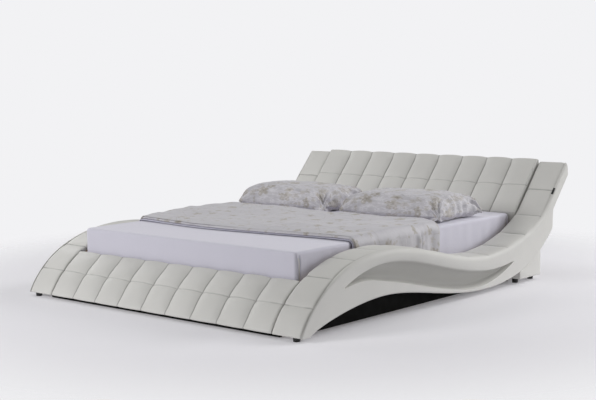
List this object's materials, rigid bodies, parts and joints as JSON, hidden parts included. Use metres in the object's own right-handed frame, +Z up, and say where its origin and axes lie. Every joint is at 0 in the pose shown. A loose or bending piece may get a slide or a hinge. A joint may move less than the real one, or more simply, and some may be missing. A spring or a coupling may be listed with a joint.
{
  "type": "leather bed",
  "caption": "Low upholstered double bed with wave-shaped sides, quilted footboard and leaning headboard, slatted base, mattress, duvet and two pillows.",
  "frame": {"origin": "on the floor, under the middle of the whole bed", "axes": "+X to the sleeper's left when lying on the back, which is the right-hand side seen from the foot; +Y from the foot to the head; +Z up"},
  "size_m": [2.064, 2.547, 0.698],
  "materials": {
    "leather": "smooth warm light grey-white leather with a low sheen",
    "sheet": "plain lilac-grey woven cotton",
    "print": "pale grey-lilac satin with a faint beige blossom print",
    "ticking": "off-white woven ticking",
    "timber": "pale plywood and laminated beech",
    "black_board": "board with a matt black covering",
    "steel": "black powder coat",
    "plastic": "black nylon",
    "tab": "plain black ribbon"
  },
  "bodies": {
    "frame": {"side_panel_right": "leather", "side_panel_left": "leather", "side_pad_right": "leather", "side_pad_left": "leather", "side_rib_right": "timber", "side_rib_left": "timber", "footboard_pad": "leather", "footboard_core": "timber", "foot_runner": "black_board", "headboard_pad": "leather", "headboard_core": "timber", "headboard_back": "leather", "rear_block_right": "leather", "rear_block_left": "leather", "side_runner_right": "black_board", "side_runner_left": "black_board", "slat_01": "timber", "slat_02": "timber", "slat_03": "timber", "slat_04": "timber", "slat_05": "timber", "slat_06": "timber", "slat_07": "timber", "slat_08": "timber", "slat_09": "timber", "slat_10": "timber", "slat_11": "timber", "slat_12": "timber", "slat_13": "timber", "side_ledge_right": "steel", "side_ledge_left": "steel", "centre_beam": "steel", "beam_hanger_foot": "steel", "beam_hanger_head": "steel", "corner_bracket_foot_right": "steel", "corner_bracket_foot_left": "steel", "corner_bracket_head_right": "steel", "corner_bracket_head_left": "steel", "centre_leg_1": "steel", "centre_leg_2": "steel", "centre_leg_3": "steel", "toe_foot_right": "plastic", "toe_foot_left": "plastic", "footboard_foot_right": "plastic", "footboard_foot_left": "plastic", "rear_foot_front_right": "plastic", "rear_foot_front_left": "plastic", "rear_foot_back_right": "plastic", "rear_foot_back_left": "plastic", "edge_tab": "tab"},
    "mattress": {"mattress": "ticking", "fitted_sheet": "sheet"},
    "duvet": {"duvet": "print"},
    "pillow_left": {"pillow_left": "print"},
    "pillow_right": {"pillow_right": "print"},
    "glide_1": {"leg_glide_1": "plastic"},
    "glide_2": {"leg_glide_2": "plastic"},
    "glide_3": {"leg_glide_3": "plastic"}
  },
  "joints": [
    {"name": "mattress_lift", "type": "slide", "parent": "frame", "child": "mattress", "axis": [0, 0, 1], "range_m": [0, 0.3]},
    {"name": "duvet_lift", "type": "slide", "parent": "mattress", "child": "duvet", "axis": [0, 0, 1], "range_m": [0, 0.15]},
    {"name": "pillow_left_lift", "type": "slide", "parent": "mattress", "child": "pillow_left", "axis": [0, 0, 1], "range_m": [0, 0.2]},
    {"name": "pillow_right_lift", "type": "slide", "parent": "mattress", "child": "pillow_right", "axis": [0, 0, 1], "range_m": [0, 0.2]},
    {"name": "glide_1_screw", "type": "slide", "parent": "frame", "child": "glide_1", "axis": [0, 0, 1], "range_m": [0, 0.02]},
    {"name": "glide_2_screw", "type": "slide", "parent": "frame", "child": "glide_2", "axis": [0, 0, 1], "range_m": [0, 0.02]},
    {"name": "glide_3_screw", "type": "slide", "parent": "frame", "child": "glide_3", "axis": [0, 0, 1], "range_m": [0, 0.02]}
  ]
}
